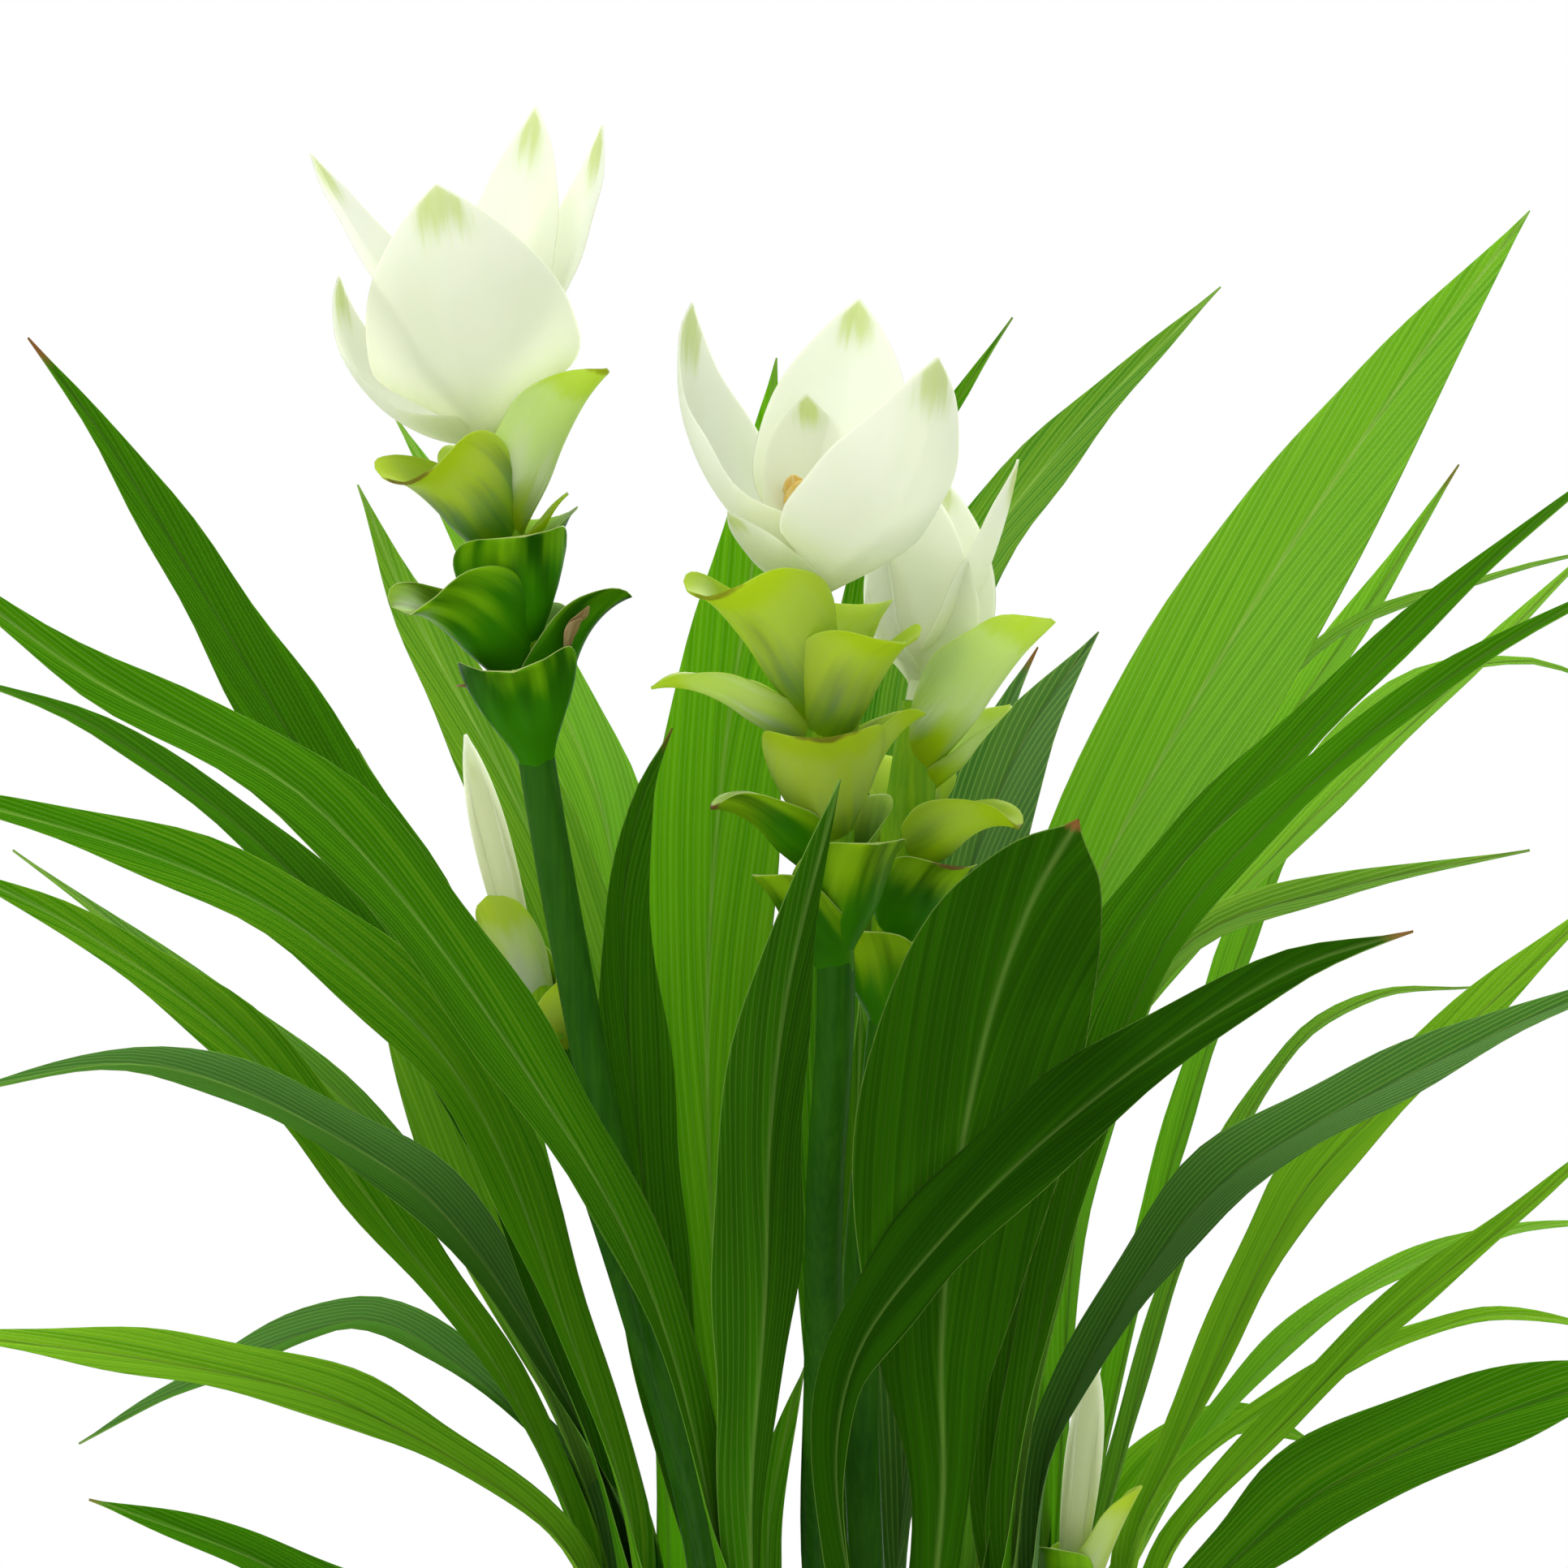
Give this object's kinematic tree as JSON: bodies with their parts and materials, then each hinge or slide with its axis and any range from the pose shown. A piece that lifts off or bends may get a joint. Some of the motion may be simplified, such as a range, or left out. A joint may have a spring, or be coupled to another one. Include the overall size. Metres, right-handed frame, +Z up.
{
  "type": "potted siam tulip",
  "caption": "Siam tulip with white flowers on green bracted spikes among long arching leaves, growing in a plain round white pot.",
  "frame": {"origin": "middle of the pot's flat underside", "axes": "+Z up; the plant's front, as in the picture, faces -Y, and +X is to its right"},
  "size_m": [0.3554, 0.3362, 0.4834],
  "materials": {
    "white_ceramic": "matte",
    "potting_soil": "matte",
    "leaf_green": "satin",
    "bract_green": "satin",
    "petal_white": "satin"
  },
  "bodies": {
    "root": {"pot": "white_ceramic", "soil": "potting_soil", "leafy_shoot_1": "leaf_green", "leafy_shoot_2": "leaf_green", "leafy_shoot_3": "leaf_green", "leafy_shoot_4": "leaf_green", "leafy_shoot_5": "leaf_green", "leafy_shoot_6": "leaf_green", "leafy_shoot_7": "leaf_green", "leafy_shoot_8": "leaf_green", "leafy_shoot_9": "leaf_green", "leafy_shoot_10": "leaf_green", "leafy_shoot_11": "leaf_green", "flower_stem_left": "bract_green", "flower_stem_right": "bract_green", "flower_stem_back": "bract_green", "left_bud_stem": "bract_green", "right_bud_stem": "bract_green", "coma_left": "petal_white", "coma_right": "petal_white", "coma_back": "petal_white", "left_bud_coma": "petal_white", "right_bud_coma": "petal_white"}
  },
  "joints": []
}
